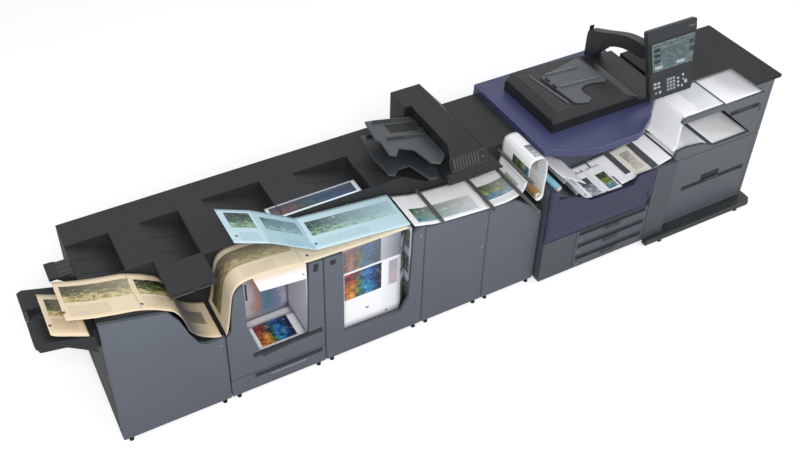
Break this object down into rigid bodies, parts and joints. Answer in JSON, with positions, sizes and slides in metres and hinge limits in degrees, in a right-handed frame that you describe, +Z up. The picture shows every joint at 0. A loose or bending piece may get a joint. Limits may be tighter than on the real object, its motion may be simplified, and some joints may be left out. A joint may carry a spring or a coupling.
{
  "type": "digital production printer",
  "caption": "Production printing line shown cut open: paper feeder, print engine with scanner and panel, folder, stacker, booklet maker and finisher in a row, with sheets running through.",
  "frame": {"origin": "on the floor, under the middle of the line's overall box", "axes": "+X along the line from the finisher to the paper feeder, -Y towards the operator at the front, +Z up"},
  "size_m": [5.043, 1.073, 1.6002],
  "materials": {
    "front_paint": "satin grey paint",
    "housing_paint": "textured charcoal paint",
    "engine_paint": "satin blue-violet paint",
    "engine_door_paint": "dark violet moulding",
    "engine_side_paint": "satin grey paint",
    "black_plastic": "fine grained moulding",
    "grey_plastic": "fine grained moulding",
    "plinth_paint": "powder coat",
    "panel_shell": "fine grained moulding",
    "foot_rubber": "matte",
    "roller_tan": "satin amber rubber",
    "bar_steel": "satin black",
    "cream_paper": "printed cream sheet",
    "blue_paper": "printed pale blue sheet",
    "white_paper": "printed white sheet"
  },
  "bodies": {
    "line": {"finisher_cabinet": "housing_paint", "finisher_top_exit": "black_plastic", "output_tray": "black_plastic", "booklet_cabinet": "housing_paint", "stacker_cabinet": "housing_paint", "folder_cabinet": "housing_paint", "relay_cabinet": "housing_paint", "inserter_housing": "black_plastic", "inserter_upper_tray": "black_plastic", "inserter_lower_tray": "black_plastic", "engine_body": "engine_side_paint", "engine_top_cover": "engine_paint", "scanner_bed": "black_plastic", "panel_arm": "black_plastic", "feeder_body": "front_paint", "feeder_drawer_upper": "front_paint", "feeder_top_plate": "housing_paint", "feeder_plinth": "plinth_paint", "levelling_feet": "foot_rubber", "guide_bars": "bar_steel", "engine_rollers": "bar_steel", "arch_rollers": "roller_tan", "falling_sheet": "white_paper", "pocket_card": "white_paper", "delivered_pile": "cream_paper", "cream_exit_sheets": "cream_paper", "cream_riser_sheets": "cream_paper", "blue_fold_sheets": "blue_paper", "transport_sheets": "white_paper", "engine_sheets": "white_paper", "booklet_pile": "white_paper", "stacker_pile": "white_paper", "feeder_sheets": "white_paper"},
    "finisher_door": {"finisher_front_door": "front_paint"},
    "booklet_door": {"booklet_front_door": "front_paint"},
    "booklet_drawer_box": {"booklet_drawer": "front_paint"},
    "stacker_door": {"stacker_front_door": "front_paint"},
    "folder_door": {"folder_front_door": "front_paint"},
    "relay_door": {"relay_front_door": "front_paint"},
    "engine_door": {"engine_front_door": "engine_door_paint"},
    "tray_upper": {"paper_tray_upper": "engine_side_paint"},
    "tray_middle": {"paper_tray_middle": "engine_side_paint"},
    "tray_lower": {"paper_tray_lower": "engine_side_paint"},
    "document_lid": {"document_feeder": "black_plastic", "document_tray": "grey_plastic"},
    "control_panel": {"operator_panel": "panel_shell"},
    "feeder_drawer": {"feeder_drawer_lower": "front_paint"}
  },
  "joints": [
    {"name": "finisher_door_hinge", "type": "hinge", "parent": "line", "child": "finisher_door", "pos_m": [-2.1905, -0.3355, 0.5], "axis": [0, 0, -1], "range_deg": [0, 90]},
    {"name": "booklet_door_hinge", "type": "hinge", "parent": "line", "child": "booklet_door", "pos_m": [-1.5205, -0.3355, 0.5], "axis": [0, 0, -1], "range_deg": [0, 90]},
    {"name": "stacker_door_hinge", "type": "hinge", "parent": "line", "child": "stacker_door", "pos_m": [-0.8995, -0.3355, 0.5], "axis": [0, 0, -1], "range_deg": [0, 90]},
    {"name": "folder_door_hinge", "type": "hinge", "parent": "line", "child": "folder_door", "pos_m": [-0.2255, -0.3355, 0.5], "axis": [0, 0, -1], "range_deg": [0, 90]},
    {"name": "relay_door_hinge", "type": "hinge", "parent": "line", "child": "relay_door", "pos_m": [0.2305, -0.3355, 0.5], "axis": [0, 0, -1], "range_deg": [0, 90]},
    {"name": "engine_door_hinge", "type": "hinge", "parent": "line", "child": "engine_door", "pos_m": [0.6545, -0.3925, 0.5], "axis": [0, 0, -1], "range_deg": [0, 90]},
    {"name": "booklet_drawer_slide", "type": "slide", "parent": "line", "child": "booklet_drawer_box", "axis": [0, -1, 0], "range_m": [0, 0.35]},
    {"name": "tray_lower_slide", "type": "slide", "parent": "line", "child": "tray_lower", "axis": [0, -1, 0], "range_m": [0, 0.42]},
    {"name": "tray_middle_slide", "type": "slide", "parent": "line", "child": "tray_middle", "axis": [0, -1, 0], "range_m": [0, 0.42]},
    {"name": "tray_upper_slide", "type": "slide", "parent": "line", "child": "tray_upper", "axis": [0, -1, 0], "range_m": [0, 0.42]},
    {"name": "feeder_drawer_slide", "type": "slide", "parent": "line", "child": "feeder_drawer", "axis": [0, -1, 0], "range_m": [0, 0.48]},
    {"name": "document_lid_hinge", "type": "hinge", "parent": "line", "child": "document_lid", "pos_m": [1.0885, 0.3795, 1.1323], "axis": [-1, 0, 0], "range_deg": [0, 70]},
    {"name": "control_panel_tilt", "type": "hinge", "parent": "line", "child": "control_panel", "pos_m": [1.5625, -0.08953, 1.42073], "axis": [1, 0, 0], "range_deg": [-12, 8]}
  ]
}
